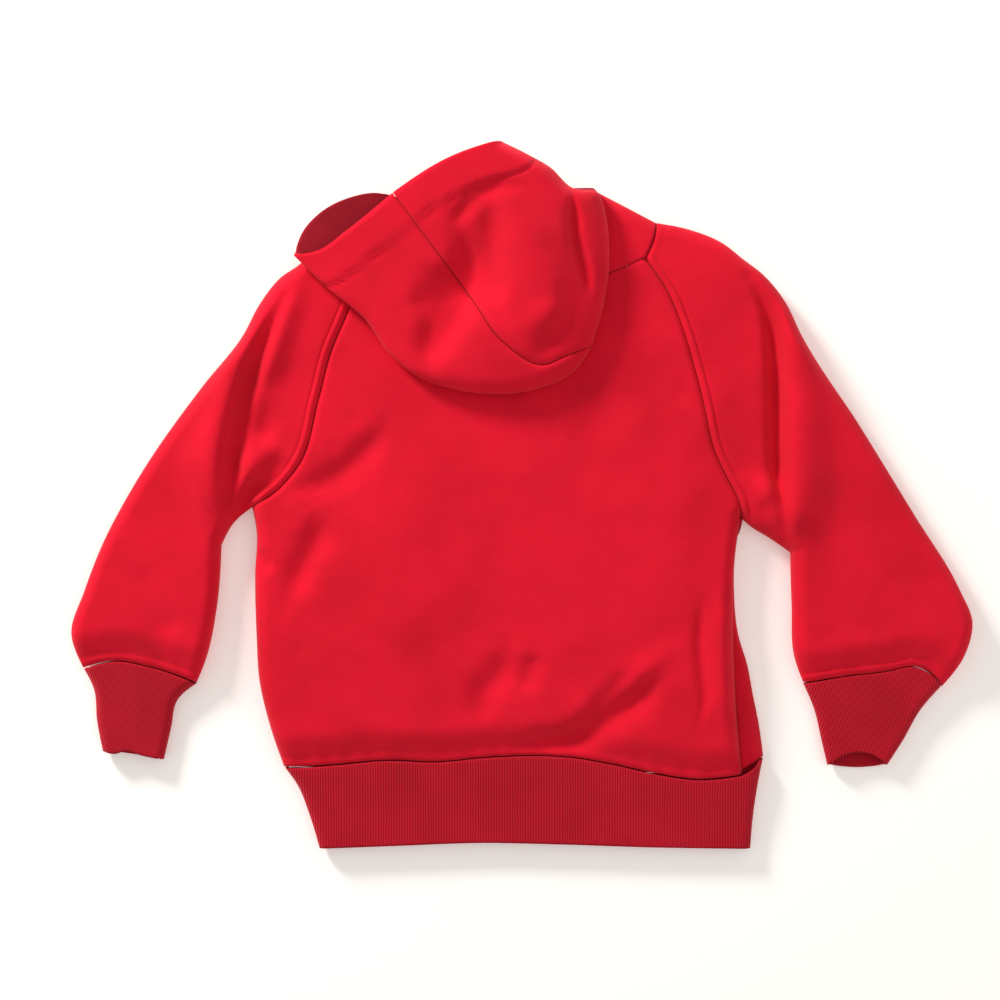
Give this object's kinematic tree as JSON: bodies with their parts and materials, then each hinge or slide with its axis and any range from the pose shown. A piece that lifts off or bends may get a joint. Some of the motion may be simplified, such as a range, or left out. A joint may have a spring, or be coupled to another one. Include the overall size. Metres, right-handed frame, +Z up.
{
  "type": "kids hoodie",
  "caption": "Child's raglan fleece hoodie laid face down, hood folded over the back, with ribbed cuffs and waistband and a front pocket.",
  "frame": {"origin": "on the surface it lies on, under the body's centre line, at the underside of the front panel", "axes": "+Z up from the surface, +Y from the hem to the hood, +X to the side of the sleeve that reaches further out"},
  "size_m": [0.6177, 0.481, 0.0499],
  "materials": {
    "fleece": "matt",
    "rib": "matt"
  },
  "bodies": {
    "root": {"back_panel": "fleece", "front_panel": "fleece", "pocket": "fleece", "sleeve_left": "fleece", "sleeve_right": "fleece", "cuff_left": "rib", "cuff_right": "rib", "waistband": "rib", "hood_left": "fleece", "hood_right": "fleece"}
  },
  "joints": []
}
